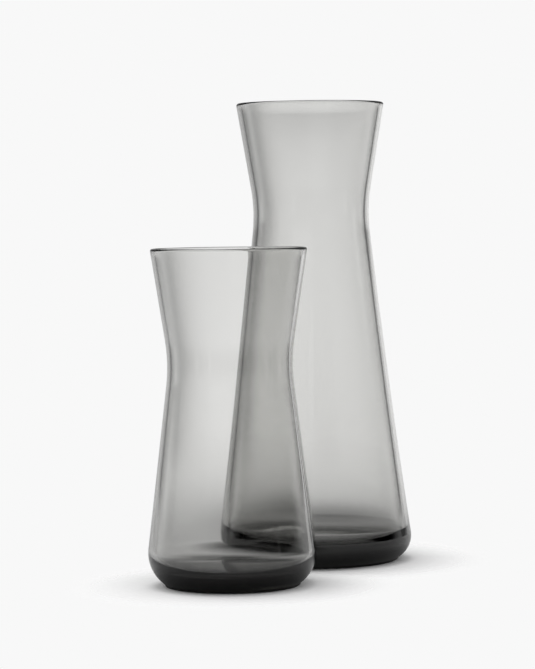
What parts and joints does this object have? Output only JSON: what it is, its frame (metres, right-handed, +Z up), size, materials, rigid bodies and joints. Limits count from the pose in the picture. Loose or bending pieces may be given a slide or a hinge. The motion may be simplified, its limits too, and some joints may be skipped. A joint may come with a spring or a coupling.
{
  "type": "water carafe set",
  "caption": "Matching tall and short water carafes in smoked glass, each with a flared mouth, a narrow waist and a thick rounded base.",
  "frame": {"origin": "centre of the tall carafe's foot, on the surface that both carafes stand on", "axes": "+Z up along the carafes' axes; +Y away from the viewer of the picture; +X to that viewer's right"},
  "size_m": [0.1627, 0.2285, 0.29],
  "materials": {
    "smoked_glass": "clear gloss, grey tint that darkens with thickness"
  },
  "bodies": {
    "tall_carafe": {"tall_carafe": "smoked_glass"},
    "short_carafe": {"short_carafe": "smoked_glass"}
  },
  "joints": [
    {"name": "short_carafe_lift", "type": "slide", "parent": "tall_carafe", "child": "short_carafe", "axis": [0, 0, 1], "range_m": [0, 0.3]}
  ]
}
